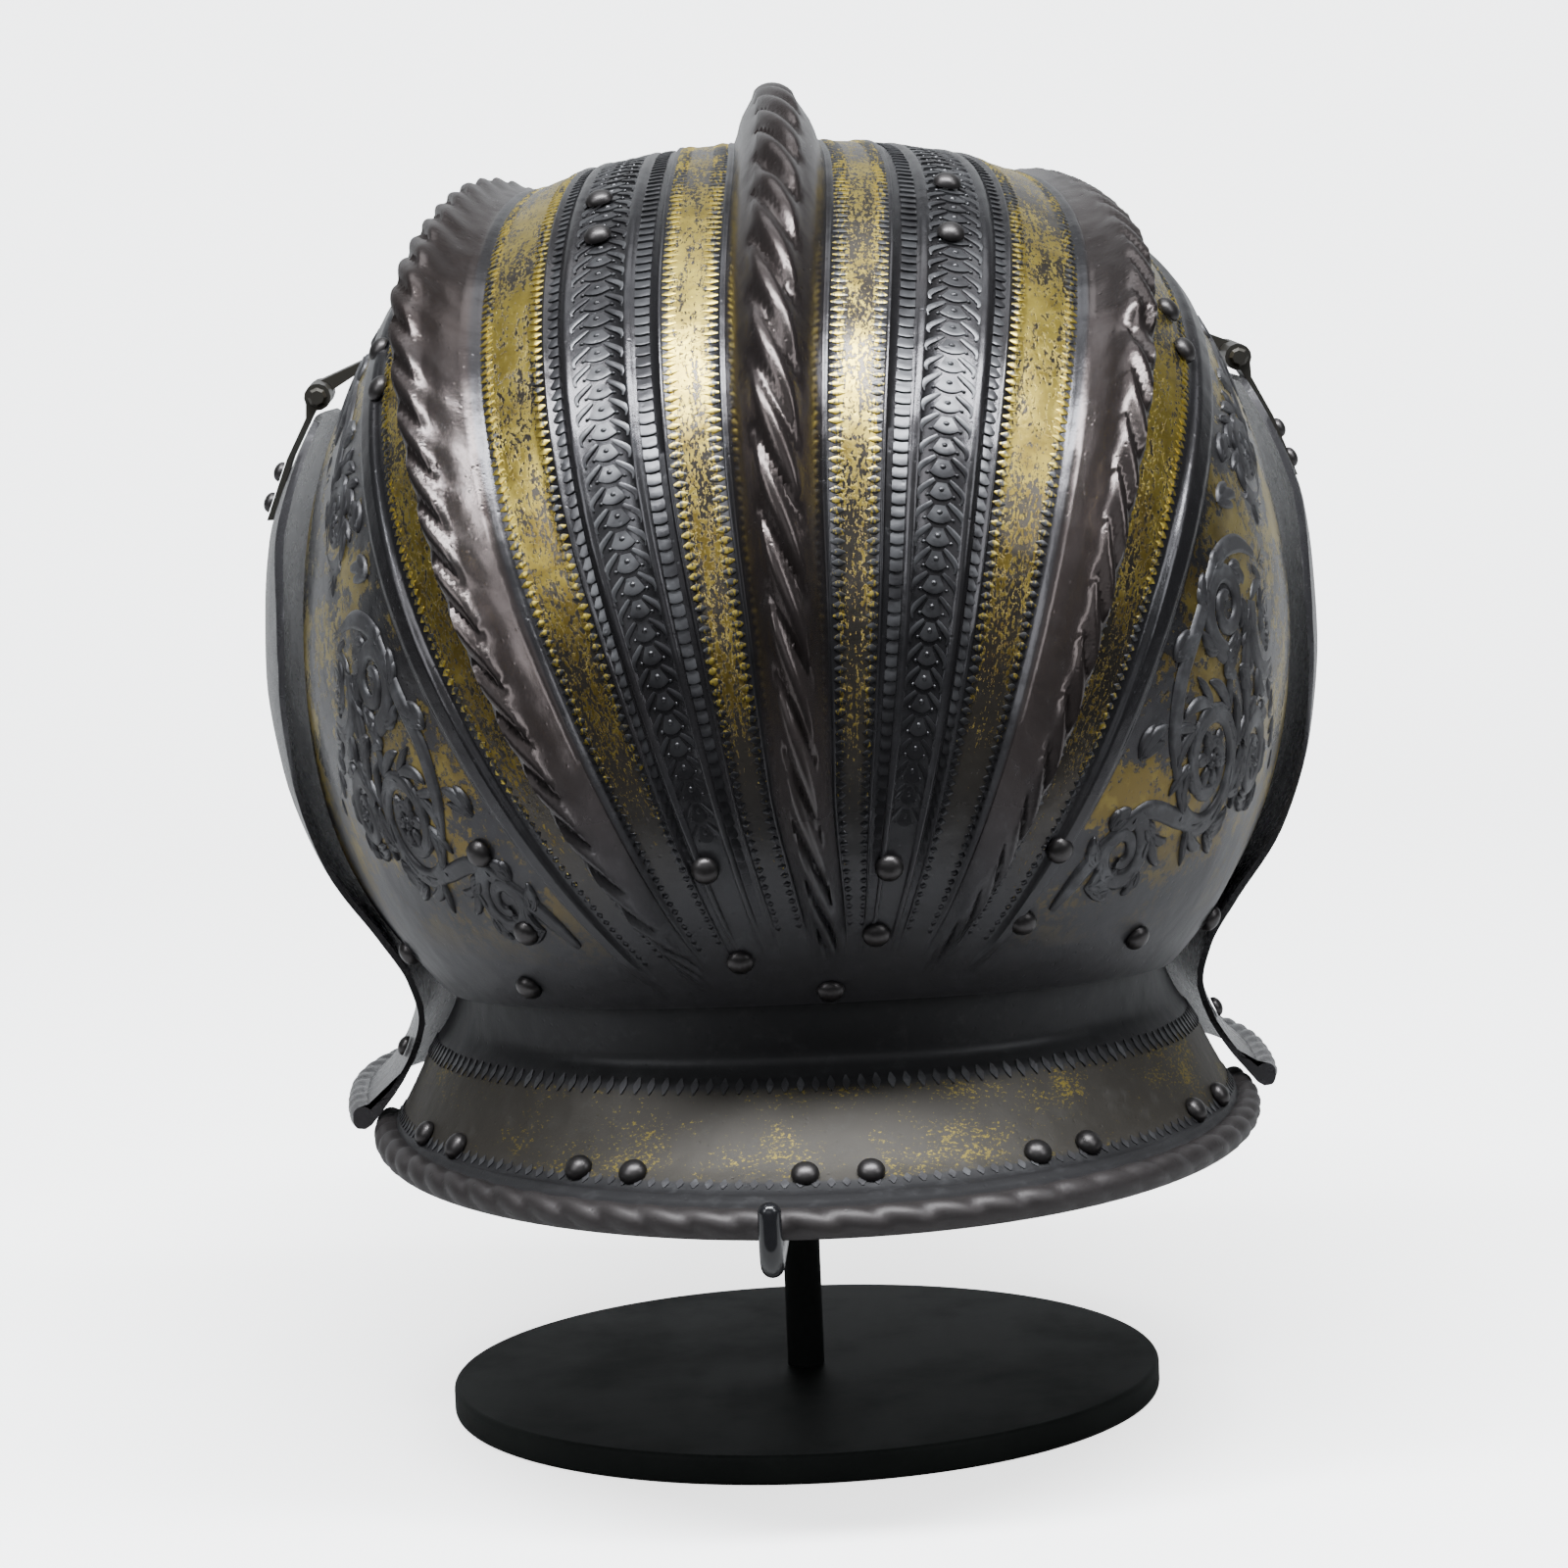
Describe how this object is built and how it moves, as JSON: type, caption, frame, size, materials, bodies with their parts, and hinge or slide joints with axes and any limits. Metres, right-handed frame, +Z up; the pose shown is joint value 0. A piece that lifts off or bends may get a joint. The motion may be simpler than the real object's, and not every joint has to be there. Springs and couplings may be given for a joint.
{
  "type": "parade helmet on a display stand",
  "caption": "Steel parade helmet with roped combs fanning over gilt bands, hinged cheekpieces and a rolled nape plate, hooked on a plain black disc stand.",
  "frame": {"origin": "centre of the underside of the stand's disc", "axes": "+Z up, -Y the face side of the helmet, +X the wearer's left"},
  "size_m": [0.235, 0.3042, 0.2919],
  "materials": {
    "banded_steel": "russet brown-black steel with worn gilt bands, satin",
    "dark_steel": "blackened steel, satin, with worn gilding on the nape plate",
    "rivet_steel": "dark domed heads",
    "hinge_steel": "blackened, plain",
    "stand_black": "satin black paint",
    "hook_black": "glossy black sleeve"
  },
  "bodies": {
    "helmet_and_stand": {"skull": "banded_steel", "nape_plate": "dark_steel", "hinge_leaf_upper_left": "hinge_steel", "hinge_leaf_upper_right": "hinge_steel", "hinge_pin_left": "hinge_steel", "hinge_pin_right": "hinge_steel", "peak": "dark_steel", "rivet_skull_crown_rear_left": "rivet_steel", "rivet_skull_crown_rear_right": "rivet_steel", "rivet_skull_crown_front_left": "rivet_steel", "rivet_skull_crown_front_right": "rivet_steel", "rivet_skull_temple_rear_left": "rivet_steel", "rivet_skull_temple_rear_right": "rivet_steel", "rivet_skull_temple_front_left": "rivet_steel", "rivet_skull_temple_front_right": "rivet_steel", "rivet_skull_back_upper_left": "rivet_steel", "rivet_skull_back_upper_right": "rivet_steel", "rivet_skull_back_lower_left": "rivet_steel", "rivet_skull_back_lower_right": "rivet_steel", "rivet_skull_panel_upper_left": "rivet_steel", "rivet_skull_panel_upper_right": "rivet_steel", "rivet_skull_panel_middle_left": "rivet_steel", "rivet_skull_panel_middle_right": "rivet_steel", "rivet_skull_panel_lower_left": "rivet_steel", "rivet_skull_panel_lower_right": "rivet_steel", "rivet_skull_panel_side_left": "rivet_steel", "rivet_skull_panel_side_right": "rivet_steel", "rivet_skull_back_middle": "rivet_steel", "rivet_nape_middle_left": "rivet_steel", "rivet_nape_middle_right": "rivet_steel", "rivet_nape_inner_left": "rivet_steel", "rivet_nape_inner_right": "rivet_steel", "rivet_nape_outer_left": "rivet_steel", "rivet_nape_outer_right": "rivet_steel", "rivet_nape_side_inner_left": "rivet_steel", "rivet_nape_side_inner_right": "rivet_steel", "rivet_nape_side_outer_left": "rivet_steel", "rivet_nape_side_outer_right": "rivet_steel", "rivet_hinge_skull_left": "rivet_steel", "rivet_hinge_skull_right": "rivet_steel", "stand_disc": "stand_black", "stand_pad": "stand_black", "stand_post": "stand_black", "stand_hook": "hook_black"},
    "left_cheekpiece": {"cheekpiece_left": "dark_steel", "hinge_leaf_lower_left": "hinge_steel", "rivet_cheek_flange_left": "rivet_steel", "rivet_hinge_cheek_upper_left": "rivet_steel", "rivet_hinge_cheek_lower_left": "rivet_steel"},
    "right_cheekpiece": {"cheekpiece_right": "dark_steel", "hinge_leaf_lower_right": "hinge_steel", "rivet_cheek_flange_right": "rivet_steel", "rivet_hinge_cheek_upper_right": "rivet_steel", "rivet_hinge_cheek_lower_right": "rivet_steel"}
  },
  "joints": [
    {"name": "left_cheek_hinge", "type": "hinge", "parent": "helmet_and_stand", "child": "left_cheekpiece", "pos_m": [0.09909, -0.036, 0.2266], "axis": [0, -1, 0], "range_deg": [0, 60]},
    {"name": "right_cheek_hinge", "type": "hinge", "parent": "helmet_and_stand", "child": "right_cheekpiece", "pos_m": [-0.10709, -0.036, 0.2266], "axis": [0, 1, 0], "range_deg": [0, 60]}
  ]
}
